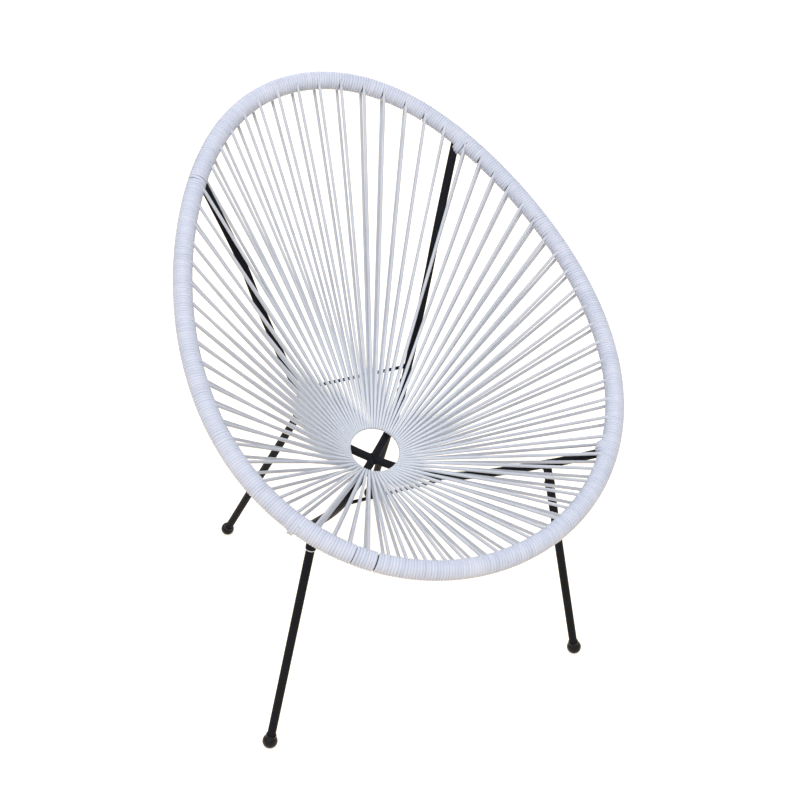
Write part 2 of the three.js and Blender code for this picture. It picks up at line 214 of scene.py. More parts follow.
# How much further out a turn lies over a lump
def lumpRise(length, turn):
    rise = np.zeros_like(length)
    for lump in lumps:
        degrees = hoop[lump["weld"]]
        place = lump["side"] * (hoopLengthAt(degrees) + lump["along"])
        away = np.abs(np.mod(length - place + hoopLength / 2, hoopLength) - hoopLength / 2)
        nearness = eased((lump["far"] - away) / (lump["far"] - lump["near"]))
        face = endsAtWeld(degrees, lump["side"], lump["along"])["turn"]
        x = lump["before"] * math.cos(face) - lump["inwards"] * math.sin(face)
        y = lump["before"] * math.sin(face) + lump["inwards"] * math.cos(face)
        reach = np.full_like(length, hoop["tubeRadius"])
        for share in np.linspace(0.0, 1.0, web["lumpSteps"]):
            radius = hoop["tubeRadius"] + share * (lump["radius"] - hoop["tubeRadius"])
            ahead = share * (x * np.cos(turn) + y * np.sin(turn))
            inside = ahead ** 2 - share ** 2 * (x * x + y * y) + radius * radius
            reach = np.maximum(reach, ahead + np.sqrt(np.maximum(inside, 0.0)))
        rise = np.maximum(rise, nearness * (reach - hoop["tubeRadius"]))
    return rise


# Beside a strand pair the turns lean towards it on the ring's side, and close the space there
def leaned(length, turn, station, place):
    away = (length - place) / web["pitch"]
    ringward = eased(web["leanRise"] * np.sin(turn - station["turn"]))
    near = np.exp(-np.abs(away) / web["leanReach"])
    return -np.sign(away) * station["lean"] * web["pitch"] * ringward * near


# The wound part of the cord from each station to the next, as hoop lengths and turns
def windingLegs():
    legsOfPath = []
    for i, station in enumerate(stations):
        nextStation = stations[(i + 1) % len(stations)]
        nextPlace = nextStation["length"] + (hoopLength if i == len(stations) - 1 else 0.0)
        start, end = station["length"] + pairOffset, nextPlace - pairOffset
        splits = [(share * hoopLength + lap, gap) for share, gap in web["splits"]
                  for lap in (0.0, hoopLength) if start < share * hoopLength + lap < end]
        room = end - start - sum(gap for _, gap in splits)
        swing = (station["turn"] - nextStation["turn"] - math.pi) / (2 * math.pi)
        whole = math.floor(room / web["pitch"] - swing + web["oneMore"])
        turns = whole + swing
        share = np.linspace(0.0, 1.0, int(turns * web["stepsPerTurn"]) + 1)
        turn = station["turn"] - share * turns * 2 * math.pi
        uneven = handWork.normal(0.0, web["unevenness"], whole + 3)
        length = start + share * room + np.interp(share * turns, np.arange(whole + 3), uneven)
        for place, gap in splits:
            length = length + gap * eased((length - place) / (web["partedOver"] * web["pitch"]) + 0.5)
        length = (length + leaned(length, turn, station, station["length"])
                  + leaned(length, turn, nextStation, nextPlace))
        legsOfPath.append(dict(station=station, length=length, turn=turn))
    return legsOfPath


# A strand pair's points, from the hoop's back round the ring to the hoop's front, and the
# cord's width at each as a share of its free width
def strandPoints(station):
    loopRadius = web["cordRadius"] * web["squeezed"]
    ringReach = ring["rodRadius"] + web["seat"] + loopRadius
    hoopReach = web["outerRadius"] - web["cordRadius"] * web["pressed"]
    holeward = np.cross(station["ringAlong"], station["ringFace"])
    loop = []
    for share in np.linspace(0.0, 1.0, web["loopSteps"] + 1):
        angle = math.pi * share
        loop.append(station["ringPoint"] + (share - 0.5) * loopRadius * station["ringAlong"]
                    + ringReach * (math.sin(angle) * holeward - math.cos(angle) * station["ringFace"]))
    outset = pairOffset * station["along"] + hoopReach * station["hoopFace"]
    start, end = station["centre"] - outset, station["centre"] + outset
    there = [start + share * (loop[0] - start) for share in (0.0, web["leaving"], web["arriving"])]
    back = [end + share * (loop[-1] - end) for share in (web["arriving"], web["leaving"], 0.0)]
    straight = [web["pressed"], 1.0, 1.0]
    widths = straight + [web["squeezed"]] * len(loop) + straight[::-1]
    return np.array(there + loop + back), np.array(widths)


# The cord's middle line between two places on the hoop. Wound points are given by the tube's
# middle and a direction to lift them in; a strand's own points need no lift.
def cordPath(start, end):
    parts = []
    for leg in windingLegsMade:
        for lap in (-hoopLength, 0.0, hoopLength):
            if start < leg["station"]["length"] + lap < end:
                points, width = strandPoints(leg["station"])
                parts.append((leg["station"]["length"] + lap, points, np.zeros_like(points),
                              np.zeros_like(width), width))
            length = leg["length"] + lap
            kept = (length >= start) & (length <= end)
            kept[1:] = kept[1:] | kept[:-1]
            if kept.any():
                length, turn = length[kept], leg["turn"][kept]
                centre, along, front, inner = hoopFrames(length)
                lift = np.cos(turn)[:, None] * front + np.sin(turn)[:, None] * inner
                parts.append((length.mean(), centre, lift, lumpRise(length, turn),
                              np.full_like(length, web["pressed"])))
    parts.sort(key=lambda part: part[0])
    return [np.concatenate([part[i] for part in parts]) for i in range(1, 5)]


windingLegsMade = windingLegs()
turnCount = sum(leg["turn"][0] - leg["turn"][-1] for leg in windingLegsMade) / (2 * math.pi)
turnLength = 2 * math.pi * (web["outerRadius"] - web["cordRadius"] * web["pressed"])
strandLength = sum(np.linalg.norm(np.diff(strandPoints(station)[0], axis=0), axis=1).sum()
                   for station in stations)
print("cord laid out:", len(stations), "strand pairs of", round(strandLength * mm, 1), "m and",
      round(turnCount), "turns of", round(turnCount * turnLength * mm, 1), "m")


# Frame bars: two bent rods that cross under the ring. Each bend has its share of the straight
# way from a weld to the ring, its depth behind that line, and its drift along the hoop.
bars = dict(
    radius=7.0, sides=28, steps=160,
    rearWeld=(0.0, 0.0, 0.0), upper=(0.29, 9.0, 0.0), middle=(0.48, 25.0, 0.0),
    rearTie=(0.78, 43.0, -3.0), bend=(0.96, 38.0, -6.0),
    crossingDepth=23.5, crossingForward=4.0,
    frontTie=(0.855, 38.0, 0.0), frontLeg=(0.31, 26.0, 2.5), frontWeld=(0.0, 7.0, 0.0),
    crossingShare=5 / 8, rearTieShare=3 / 8, rearLegDrop=25.0,
)


def barBend(weldName, side, key):
    share, depth, drift = bars[key]
    ends = endsAtWeld(hoop[weldName], side)
    return (ends["centre"] + share * (ends["ringPoint"] - ends["centre"])
            - depth * ends["hoopFace"] + drift * side * ends["along"])


def barBends(rearSide):
    rear = [barBend("rearWeld", rearSide, key)
            for key in ("rearWeld", "upper", "middle", "rearTie", "bend")]
    crossing = ringCentre - bars["crossingDepth"] * ringNormal - bars["crossingForward"] * ringRise
    front = [barBend("frontWeld", -rearSide, key) for key in ("frontTie", "frontLeg", "frontWeld")]
    return [*rear, crossing, *front]


# A smooth curve through points, each span paced by the root of its length, as the CAD model
# draws its bars
def smoothCurve(points, shares):
    points = np.array(points)
    padded = np.vstack([2 * points[0] - points[1], points, 2 * points[-1] - points[-2]])
    curve = []
    for share in shares:
        place = share * (len(points) - 1)
        i = min(int(place), len(points) - 2)
        t = place - i
        p0, p1, p2, p3 = padded[i:i + 4]
        spans = ((p0, p1), (p1, p2), (p2, p3))
        d0, d1, d2 = (math.sqrt(np.linalg.norm(b - a)) for a, b in spans)
        leave = ((p1 - p0) / d0 - (p2 - p0) / (d0 + d1) + (p2 - p1) / d1) * d1
        arrive = ((p2 - p1) / d1 - (p3 - p1) / (d1 + d2) + (p3 - p2) / d2) * d1
        curve.append(p1 + leave * t + (3 * (p2 - p1) - 2 * leave - arrive) * t ** 2
                     + (2 * (p1 - p2) + leave + arrive) * t ** 3)
    return np.array(curve)


barShares = np.linspace(0.0, 1.0, bars["steps"] + 1)
throughPath = smoothCurve(barBends(-1), barShares)
cutPath = smoothCurve(barBends(1), barShares)


def linear(hexCode):
    channels = [int(hexCode[i:i + 2], 16) / 255 for i in (1, 3, 5)]
    return [c / 12.92 if c <= 0.04045 else ((c + 0.055) / 1.055) ** 2.4 for c in channels] + [1.0]


# Adds a node, sets what it is given and links the sockets among its inputs
def addNode(nodeTree, kind, inputs=(), **settings):
    node = nodeTree.nodes.new(kind)
    for key, value in settings.items():
        setattr(node, key, value)
    for key, value in dict(inputs).items():
        if isinstance(value, bpy.types.NodeSocket):
            nodeTree.links.new(value, node.inputs[key])
        else:
            node.inputs[key].default_value = value
    return node


def newMaterial(name):
    material = bpy.data.materials.new(name)
    material.use_nodes = True
    material.node_tree.nodes.clear()
    return material, material.node_tree


# Extruded PVC cord: a smooth satin skin, faintly mottled, its tone drifting along the cord. The wound
# turns carry a painted cool sky tint and the strands a plainer white. Round the ring the strands are
# painted paler, as painted light that lifts the shade falling between them.
def makeCordPvc():
    look = dict(
        # the wound colours hold a painted cool sky tint, and the strand colours are the plainer cord
        # white
        woundPale="#DBE0F0", woundDull="#CCD3E5", strandPale="#D8DDE8", strandDull="#CCD1DD",
        # painted light: strands round the ring are painted this paler white to lift the shade between
        # them
        paintedRingLight="#EAEFF8", paintedLightNear=60.0, paintedLightFar=260.0,
        mottleSize=45.0, mottleDetail=3.0, driftSize=70.0, toneFrom=0.7, toneTo=1.3,
        skinSize=0.9, skinDepth=0.012, skinStrength=0.35, smooth=0.38, rough=0.52, index=1.53,
    )
    material, tree = newMaterial("extruded PVC cord")
    place = addNode(tree, "ShaderNodeTexCoord").outputs["Object"]
    mottle = addNode(tree, "ShaderNodeTexNoise", {
        "Vector": place, "Scale": 1 / (look["mottleSize"] * mm), "Detail": look["mottleDetail"],
    }).outputs[0]
    along = addNode(tree, "ShaderNodeAttribute", attribute_name="alongCord").outputs["Fac"]
    drift = addNode(tree, "ShaderNodeTexNoise", {
        "W": along, "Scale": 1 / (look["driftSize"] * mm)}, noise_dimensions="1D").outputs[0]
    both = addNode(tree, "ShaderNodeMath", {0: mottle, 1: drift}, operation="ADD").outputs[0]
    tone = addNode(tree, "ShaderNodeMapRange", {
        "Value": both, "From Min": look["toneFrom"], "From Max": look["toneTo"]}).outputs[0]
    # mask of that painted light, full close to the ring and fading out further off
    away = addNode(tree, "ShaderNodeVectorMath", {
        0: place, 1: tuple(ringCentre * mm)}, operation="DISTANCE").outputs["Value"]
    paintedRingLight = addNode(tree, "ShaderNodeMapRange", {
        "Value": away, "From Min": look["paintedLightFar"] * mm, "From Max": look["paintedLightNear"] * mm,
    }).outputs[0]
    strandBase = addNode(tree, "ShaderNodeMix", {
        0: tone, 6: linear(look["strandDull"]), 7: linear(look["strandPale"]),
    }, data_type="RGBA").outputs[2]
    strand = addNode(tree, "ShaderNodeMix", {
        0: paintedRingLight, 6: strandBase, 7: linear(look["paintedRingLight"])}, data_type="RGBA").outputs[2]
    # wound turns take the painted cool sky tint
    turn = addNode(tree, "ShaderNodeMix", {
        0: tone, 6: linear(look["woundDull"]), 7: linear(look["woundPale"]),
    }, data_type="RGBA").outputs[2]
    # lift is set only on wound turns, so they get the sky-tinted colour and the strands the plainer one
    lift = addNode(tree, "ShaderNodeAttribute", attribute_name="lift").outputs["Vector"]
    wound = addNode(tree, "ShaderNodeVectorMath", {0: lift}, operation="LENGTH").outputs["Value"]
    colour = addNode(tree, "ShaderNodeMix", {
        0: wound, 6: strand, 7: turn}, data_type="RGBA").outputs[2]
    roughness = addNode(tree, "ShaderNodeMapRange", {
        "Value": mottle, "To Min": look["smooth"], "To Max": look["rough"]}).outputs[0]
    grain = addNode(tree, "ShaderNodeTexNoise", {
        "Vector": place, "Scale": 1 / (look["skinSize"] * mm)}).outputs[0]
    skin = addNode(tree, "ShaderNodeBump", {
        "Height": grain, "Strength": look["skinStrength"], "Distance": look["skinDepth"] * mm,
    }).outputs[0]
    shader = addNode(tree, "ShaderNodeBsdfPrincipled", {
        "Base Color": colour, "Roughness": roughness, "Normal": skin, "IOR": look["index"]})
    addNode(tree, "ShaderNodeOutputMaterial", {"Surface": shader.outputs["BSDF"]})
    return material


# A plain finish whose colour and roughness drift together in soft patches, with a fine grain in
# relief where it has one
def makeFinish(name, look):
    material, tree = newMaterial(name)
    place = addNode(tree, "ShaderNodeTexCoord").outputs["Object"]
    patch = addNode(tree, "ShaderNodeTexNoise", {
        "Vector": place, "Scale": 1 / (look["patchSize"] * mm), "Detail": look["patchDetail"],
    }).outputs[0]
    colour = addNode(tree, "ShaderNodeMix", {
        0: patch, 6: linear(look["dark"]), 7: linear(look["pale"])}, data_type="RGBA").outputs[2]
    roughness = addNode(tree, "ShaderNodeMapRange", {
        "Value": patch, "To Min": look["smooth"], "To Max": look["rough"]}).outputs[0]
    shader = addNode(tree, "ShaderNodeBsdfPrincipled", {
        "Base Color": colour, "Roughness": roughness, **look["shader"]})
    if "grainSize" in look:
        grain = addNode(tree, "ShaderNodeTexNoise", {
            "Vector": place, "Scale": 1 / (look["grainSize"] * mm)}).outputs[0]
        relief = addNode(tree, "ShaderNodeBump", {
            "Height": grain, "Strength": look["grainStrength"],
            "Distance": look["grainDepth"] * mm}).outputs[0]
        tree.links.new(relief, shader.inputs["Normal"])
    addNode(tree, "ShaderNodeOutputMaterial", {"Surface": shader.outputs["BSDF"]})
    return material


cordPvc = makeCordPvc()
# Satin black powder coat: fine orange peel that breaks the highlight along each rod
powderCoat = makeFinish("black powder coat", dict(
    dark="#1A1B1F", pale="#27282E", patchSize=30.0, patchDetail=4.0, smooth=0.36, rough=0.52,
    grainSize=1.3, grainDepth=0.05, grainStrength=0.5,
    shader={"IOR": 1.5, "Specular IOR Level": 0.02},
))
# Zinc plate: pale grey metal with soft cloudy patches
zincPlate = makeFinish("zinc plate", dict(
    dark="#A9ADB2", pale="#D0D3D6", patchSize=2.5, patchDetail=3.0, smooth=0.28, rough=0.46,
    shader={"Metallic": 1.0},
))
# Moulded rubber: near black, worn to a soft shine, with a fine spark-eroded grain
footRubber = makeFinish("moulded rubber", dict(
    dark="#0A0A0C", pale="#19191B", patchSize=9.0, patchDetail=5.0, smooth=0.2, rough=0.36,
    grainSize=0.7, grainDepth=0.06, grainStrength=0.4,
    shader={"IOR": 1.52, "Specular IOR Level": 0.16},
))
print("materials made")


def newTree(name, sizes):
    tree = bpy.data.node_groups.new(name, "GeometryNodeTree")
    tree.interface.new_socket("Geometry", in_out="INPUT", socket_type="NodeSocketGeometry")
    for label, kind in sizes:
        tree.interface.new_socket(label, in_out="INPUT", socket_type=kind)
    tree.interface.new_socket("Geometry", in_out="OUTPUT", socket_type="NodeSocketGeometry")
    return tree, tree.nodes.new("NodeGroupInput").outputs


def closeTree(tree, geometry, material):
    solid = addNode(tree, "GeometryNodeRealizeInstances", {"Geometry": geometry}).outputs[0]
    dressed = addNode(tree, "GeometryNodeSetMaterial", {
        "Geometry": solid, "Material": material}).outputs[0]
    addNode(tree, "NodeGroupOutput", {"Geometry": dressed})
    return tree


# A smooth round section swept along a line, as wide at each point as its width attribute
def sweptRound(tree, line, sides, radius):
    section = addNode(tree, "GeometryNodeCurvePrimitiveCircle", {
        "Resolution": sides, "Radius": radius}).outputs["Curve"]
    width = addNode(tree, "GeometryNodeInputNamedAttribute", {
        "Name": "width"}, data_type="FLOAT").outputs[0]
    tube = addNode(tree, "GeometryNodeCurveToMesh", {
        "Curve": line, "Profile Curve": section, "Fill Caps": True, "Scale": width}).outputs[0]
    return addNode(tree, "GeometryNodeSetShadeSmooth", {"Geometry": tube}).outputs[0]


# Lifts the cord's middle line off the hoop's middle, and sweeps the round cord along it
def makeWoundCordTree():
    tree, given = newTree("wound cord", (
        ("Lift radius", "NodeSocketFloat"), ("Cord radius", "NodeSocketFloat"),
        ("Cord sides", "NodeSocketInt"), ("Material", "NodeSocketMaterial")))
    rise = addNode(tree, "GeometryNodeInputNamedAttribute", {
        "Name": "rise"}, data_type="FLOAT").outputs[0]
    lift = addNode(tree, "GeometryNodeInputNamedAttribute", {
        "Name": "lift"}, data_type="FLOAT_VECTOR").outputs[0]
    reach = addNode(tree, "ShaderNodeMath", {
        0: given["Lift radius"], 1: rise}, operation="ADD").outputs[0]
    offset = addNode(tree, "ShaderNodeVectorMath", {
        0: lift, "Scale": reach}, operation="SCALE").outputs[0]
    raised = addNode(tree, "GeometryNodeSetPosition", {
        "Geometry": given["Geometry"], "Offset": offset}).outputs[0]
    line = addNode(tree, "GeometryNodeMeshToCurve", {"Mesh": raised}).outputs[0]
    run = addNode(tree, "GeometryNodeSplineParameter").outputs["Length"]
    marked = addNode(tree, "GeometryNodeStoreNamedAttribute", {
        "Geometry": line, "Name": "alongCord", "Value": run,
    }, domain="POINT", data_type="FLOAT").outputs[0]
    swept = sweptRound(tree, marked, given["Cord sides"], given["Cord radius"])
    return closeTree(tree, swept, given["Material"])


def makeRodTree():
    tree, given = newTree("round rod", (
        ("Rod radius", "NodeSocketFloat"), ("Rod sides", "NodeSocketInt"),
        ("Material", "NodeSocketMaterial")))
    line = addNode(tree, "GeometryNodeMeshToCurve", {"Mesh": given["Geometry"]}).outputs[0]
    swept = sweptRound(tree, line, given["Rod sides"], given["Rod radius"])
    return closeTree(tree, swept, given["Material"])


# Weld beads, where one rod meets another's skin
weld = dict(
    beadRadius=1.7, beadPitch=1.5, squash=(1.0, 1.0, 0.8), segments=12, rings=7,
    loopPoints=40, raySteps=161, rayReach=3.0, refine=12, searchReach=6.0,
    axisSteps=3,          # steps of a bar that give its way out of the crossing
    tieLoop=(3.4, 2.2),   # half-widths of the bead over a front tie
)


# Overlapping ripples set along a closed line
def makeWeldTree():
    tree, given = newTree("weld bead", (
        ("Bead radius", "NodeSocketFloat"), ("Bead pitch", "NodeSocketFloat"),
        ("Bead squash", "NodeSocketVector"), ("Material", "NodeSocketMaterial")))
    line = addNode(tree, "GeometryNodeMeshToCurve", {"Mesh": given["Geometry"]}).outputs[0]
    spaced = addNode(tree, "GeometryNodeResampleCurve", {
        "Curve": line, "Length": given["Bead pitch"]}, mode="LENGTH").outputs[0]
    tangent = addNode(tree, "GeometryNodeInputTangent").outputs[0]
    facing = addNode(tree, "FunctionNodeAlignRotationToVector", {
        "Vector": tangent}, axis="Z").outputs[0]
    ripple = addNode(tree, "GeometryNodeMeshUVSphere", {
        "Segments": weld["segments"], "Rings": weld["rings"],
        "Radius": given["Bead radius"]}).outputs["Mesh"]
    rounded = addNode(tree, "GeometryNodeSetShadeSmooth", {"Geometry": ripple}).outputs[0]
    beads = addNode(tree, "GeometryNodeInstanceOnPoints", {
        "Points": spaced, "Instance": rounded, "Rotation": facing,
        "Scale": given["Bead squash"]}).outputs[0]
    return closeTree(tree, beads, given["Material"])


woundCordTree = makeWoundCordTree()
rodTree = makeRodTree()
weldTree = makeWeldTree()


# Runs a node tree on a line of points and returns the plain mesh object that comes out
def grow(name, points, tree, inputs, attributes=(), closed=False):
    points = np.asarray(points)
    edges = [(i, i + 1) for i in range(len(points) - 1)]
    if closed:
        edges.append((len(points) - 1, 0))
    line = bpy.data.meshes.new(name)
    line.from_pydata([tuple(point) for point in points * mm], edges, [])
    for label, kind, values in attributes:
        field = line.attributes.new(label, kind, "POINT")
        member = "vector" if kind == "FLOAT_VECTOR" else "value"
        field.data.foreach_set(member, np.asarray(values, float).ravel())
    piece = bpy.data.objects.new(name, line)
    bpy.context.scene.collection.objects.link(piece)
    modifier = piece.modifiers.new("grow", "NODES")
    modifier.node_group = tree
    for item in tree.interface.items_tree:
        if item.in_out == "INPUT" and item.name in inputs:
            modifier[item.identifier] = inputs[item.name]
    evaluated = piece.evaluated_get(bpy.context.evaluated_depsgraph_get())
    grown = bpy.data.meshes.new_from_object(evaluated)
    piece.modifiers.remove(modifier)
    piece.data = grown
    bpy.data.meshes.remove(line)
    grown.name = name
    return piece


def keep(piece, slotName, *nodes):
    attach(piece, body)
    if nodes:
        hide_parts(*nodes)


# The cord, in one piece for each CAD panel
for panel in panels:
    centres, lifts, rises, widths = cordPath(panel["start"], panel["end"])
    piece = grow(f"woundCord_{panel['name']}", centres, woundCordTree, {
        "Lift radius": (web["outerRadius"] - web["cordRadius"] * web["pressed"]) * mm,
        "Cord radius": web["cordRadius"] * mm, "Cord sides": web["sides"], "Material": cordPvc,
    }, (("lift", "FLOAT_VECTOR", lifts), ("rise", "FLOAT", rises * mm), ("width", "FLOAT", widths)))
    keep(piece, "cord", f"cord_web_{panel['name']}")
print("cord wound and strung")


def growRod(name, line, width, radius, sides, material, closed=False):
    return grow(name, line, rodTree, {
        "Rod radius": radius * mm, "Rod sides": sides, "Material": material,
    }, (("width", "FLOAT", width),), closed)


def makeRing(name, line, radius, sides, slotName, material, node):
    rod = growRod(name, line, np.ones(len(line)), radius, sides, material, closed=True)
    keep(rod, slotName, node)


hoopLine = hoopPoints(np.linspace(0.0, 2 * math.pi, hoop["segments"], endpoint=False))
ringAngles = np.linspace(0.0, 2 * math.pi, ring["segments"], endpoint=False)
ringLine = [ringFrame(angle)[0] for angle in ringAngles]
makeRing("hoopTube", hoopLine, hoop["tubeRadius"], hoop["sides"], "frame_paint", powderCoat, "rim_hoop")
makeRing("ringRod", ringLine, ring["rodRadius"], ring["sides"], "ring_steel", zincPlate, "centre_ring")
print("hoop and ring made")


# The ends of bars and ties are a little rounded
rodEnds = dict(round=0.9, steps=3)


# Adds the points that round a rod's ends, and returns its line and its width along it
def roundedEnds(points, radius):
    points = np.asarray(points, float)
    startWay = unit(points[1] - points[0])
    endWay = unit(points[-1] - points[-2])
    angles = np.radians(np.linspace(0.0, 90.0, rodEnds["steps"] + 1))
    backs = rodEnds["round"] * (1 - np.sin(angles))
    widths = 1 - rodEnds["round"] / radius * (1 - np.cos(angles[::-1]))
    heads = points[0] + (rodEnds["round"] - backs[:, None]) * startWay
    tails = points[-1] - (rodEnds["round"] - backs[::-1, None]) * endWay
    inner = [point for point in points[1:-1]
             if min(np.linalg.norm(point - end) for end in (points[0], points[-1])) > rodEnds["round"]]
    line = np.array([*heads, *inner, *tails])
    return line, np.array([*widths, *np.ones(len(inner)), *widths[::-1]])


def makeRod(name, points, radius, sides, node):
    line, width = roundedEnds(points, radius)
    keep(growRod(name, line, width, radius, sides, powderCoat), "frame_paint", node)


# Rods that tie the two bars together
ties = dict(radius=3.0, sides=20, gap=0.3, frontPast=6.0)

crossingStep = round(bars["crossingShare"] * bars["steps"])
for name, path, node in (("barThrough", throughPath, "seat_bar_through"),
                         ("barRearHalf", cutPath[:crossingStep + 1], "seat_bar_rear_half"),
                         ("barFrontHalf", cutPath[crossingStep:], "seat_bar_front_half")):
    makeRod(name, path, bars["radius"], bars["sides"], node)


def tieEnd(place, side):
    if place == "rear":
        return barBend("rearWeld", side, "rearTie")
    below = bars["radius"] + ties["radius"] + ties["gap"]
    return barBend("frontWeld", side, "frontTie") + np.array([side * ties["frontPast"], 0.0, -below])


for place in ("rear", "front"):
    first, last = tieEnd(place, -1), tieEnd(place, 1)
    line = [first, (first + last) / 2, last]
    makeRod(f"{place}Tie", line, ties["radius"], ties["sides"], f"tie_rod_{place}")
print("bars and tie rods made")


# Legs: a socket welded under the bar, a leg rod that screws into it, and a washer between them
legs = dict(
    radius=7.0, sides=36, socketLength=46.0, collarRadius=8.4, collarHeight=9.0,
    boreRadius=4.6, boreDepth=24.0, gap=0.3, chamfer=1.0,
    washerRadius=8.0, washerHole=4.6, washerThickness=1.6, edge=0.35,
    studRadius=4.0, studLength=20.0,
    frontFoot=(285.0, -208.0), rearFoot=(154.0, 392.0),
)
feet = dict(
    radius=12.5, centreZ=10.5, sides=40, steps=20, boreDepth=4.0, boreGap=0.1,
    neckRadius=8.6, neckTop=13.7, neckBlend=0.6, lipRound=0.5,
)
turning = dict(creaseAngle=35.0, roundSteps=4)


# A turned solid: a profile of (radius, height) about an axis from one point towards another. A
# profile that comes back to its start closes on its own first row.
def turned(name, profile, origin, towards, sides, material):
    axis = Vector(unit(towards - origin))
    turn = Vector((0, 0, 1)).rotation_difference(axis).to_matrix().to_4x4()
    place = Matrix.Translation(Vector(origin * mm)) @ turn
    points, faces, rows = [], [], []
    for radius, height in profile:
        if rows and (radius, height) == profile[0]:
            rows.append(rows[0])
            continue
        around = sides if radius > 0 else 1
        first = len(points)
        rows.append([first + k % around for k in range(sides)])
        for angle in (2 * math.pi * k / sides for k in range(around)):
            points.append((radius * mm * math.cos(angle), radius * mm * math.sin(angle), height * mm))
    for low, high in zip(rows, rows[1:]):
        for k in range(sides):
            following = (k + 1) % sides
            face = list(dict.fromkeys((low[k], low[following], high[following], high[k])))
            if len(face) > 2:
                faces.append(face)
    mesh = bpy.data.meshes.new(name)
    mesh.from_pydata([tuple(place @ Vector(point)) for point in points], [], faces)
    mesh.polygons.foreach_set("use_smooth", [True] * len(mesh.polygons))
    mesh.set_sharp_from_angle(angle=math.radians(turning["creaseAngle"]))
    mesh.materials.append(material)
    piece = bpy.data.objects.new(name, mesh)
    bpy.context.scene.collection.objects.link(piece)
    return piece


# Quarter round in a turned profile, as a few points
def quarterRound(radius, height, size, startAngle):
    angles = np.radians(startAngle + np.linspace(0.0, 90.0, turning["roundSteps"] + 1))
    return [(radius + size * math.cos(a), height + size * math.sin(a)) for a in angles]


# A moulded ball with a short neck round the leg's end, and a worn flat where it stands
def makeFoot(place, top, foot):
    neckTop, neckRadius, ball = feet["neckTop"], feet["neckRadius"], feet["radius"]
    blend, lip, boreRadius = feet["neckBlend"], feet["lipRound"], legs["radius"] + feet["boreGap"]
    topAngle = math.pi - math.asin((neckRadius + blend) / ball)
    neckBase = -ball * math.cos(topAngle)
    angles = np.linspace(0.0, topAngle, feet["steps"] + 1)
    profile = [(0.0, -ball)] + [(ball * math.sin(a), -ball * math.cos(a)) for a in angles[1:]]
    profile += [(neckRadius + blend / 2, neckBase + blend / 2), (neckRadius, neckBase + blend * 2),
                *quarterRound(neckRadius - lip, neckTop - lip, lip, 0.0),
                (boreRadius, neckTop), (boreRadius, -feet["boreDepth"]), (0.0, -feet["boreDepth"])]
    cap = turned(f"footCap_{place}", profile, foot, top, feet["sides"], footRubber)
    for vertex in cap.data.vertices:
        vertex.co.z = max(vertex.co.z, 0.0)
    keep(cap, "foot_rubber", f"foot_cap_{place}")


def makeLeg(place, top, foot):
    r, edge, socketEnd = legs["radius"], legs["edge"], legs["socketLength"]
    collar, collarBase = legs["collarRadius"], socketEnd - legs["collarHeight"]
    socket = turned(f"legSocket_{place}", [
        (0.0, 0.0), (r, 0.0), (r, collarBase - legs["chamfer"]),
        (collar - edge, collarBase - edge), (collar, collarBase + edge),
        *quarterRound(collar - edge, socketEnd - edge, edge, 0.0),
        (legs["boreRadius"], socketEnd), (legs["boreRadius"], socketEnd - legs["boreDepth"]),
        (0.0, socketEnd - legs["boreDepth"]),
    ], top, foot, legs["sides"], powderCoat)
    keep(socket, "frame_paint", f"leg_socket_{place}")

    base = socketEnd + legs["gap"]
    lip = base + legs["washerThickness"]
    hole, flat = legs["washerHole"], legs["washerRadius"] - edge
    washer = turned(f"legWasher_{place}", [
        (hole, base), *quarterRound(flat, base + edge, edge, -90.0),
        *quarterRound(flat, lip - edge, edge, 0.0), (hole, lip), (hole, base),
    ], top, foot, legs["sides"], zincPlate)
    keep(washer, "washer_zinc", f"leg_washer_{place}")

    start, stud = lip + legs["gap"], legs["studRadius"]
    studStart = start - legs["studLength"]
    end = np.linalg.norm(foot - top) + feet["boreDepth"] - legs["gap"]
    leg = turned(f"legRod_{place}", [
        (0.0, studStart), (stud - edge, studStart), (stud, studStart + edge), (stud, start),
        (r - legs["chamfer"], start), (r, start + legs["chamfer"]), (r, (start + end) / 2),
        (r, end), (0.0, end),
    ], top, foot, legs["sides"], powderCoat)
    keep(leg, "frame_paint", f"leg_{place}")
    makeFoot(place, top, foot)


def barPointAtHeight(path, height):
    first = round(bars["rearTieShare"] * bars["steps"])
    heights = path[first:crossingStep + 1, 2]
    share = np.interp(-height, -heights, np.arange(len(heights)))
    low = int(share)
    return path[first + low] + (share - low) * (path[first + low + 1] - path[first + low])


# The closed line where a round rod, pointing along axis from a point, leaves a bar's skin
def weldLine(start, axis, radius, barPath):
    middle = len(barPath) // 2
    side = unit(np.cross(axis, barPath[middle + 1] - barPath[middle]))
    rise = np.cross(side, axis)
    way = np.linspace(-bars["radius"], weld["rayReach"] * bars["radius"], weld["raySteps"])
    points = []
    for angle in np.linspace(0.0, 2 * math.pi, weld["loopPoints"], endpoint=False):
        edge = start + radius * (math.cos(angle) * side + math.sin(angle) * rise)
        ray = edge + way[:, None] * axis
        gap = np.linalg.norm(ray[:, None, :] - barPath[None], axis=2).min(1)
        inside = np.nonzero(gap < bars["radius"])[0]
        points.append(ray[inside[-1]] if len(inside) else edge)
    return np.array(points)


def makeBead(name, line):
    bead = grow(name, line, weldTree, {
        "Bead radius": weld["beadRadius"] * mm, "Bead pitch": weld["beadPitch"] * mm,
        "Bead squash": weld["squash"], "Material": powderCoat,
    }, closed=True)
    keep(bead, "frame_paint")


def makeWeld(name, start, axis, radius, barPath):
    fine = np.concatenate([np.linspace(a, b, weld["refine"], endpoint=False)
                           for a, b in zip(barPath, barPath[1:])])
    near = fine[np.linalg.norm(fine - start, axis=1) < weld["searchReach"] * bars["radius"]]
    makeBead(name, weldLine(start, axis, radius, near))


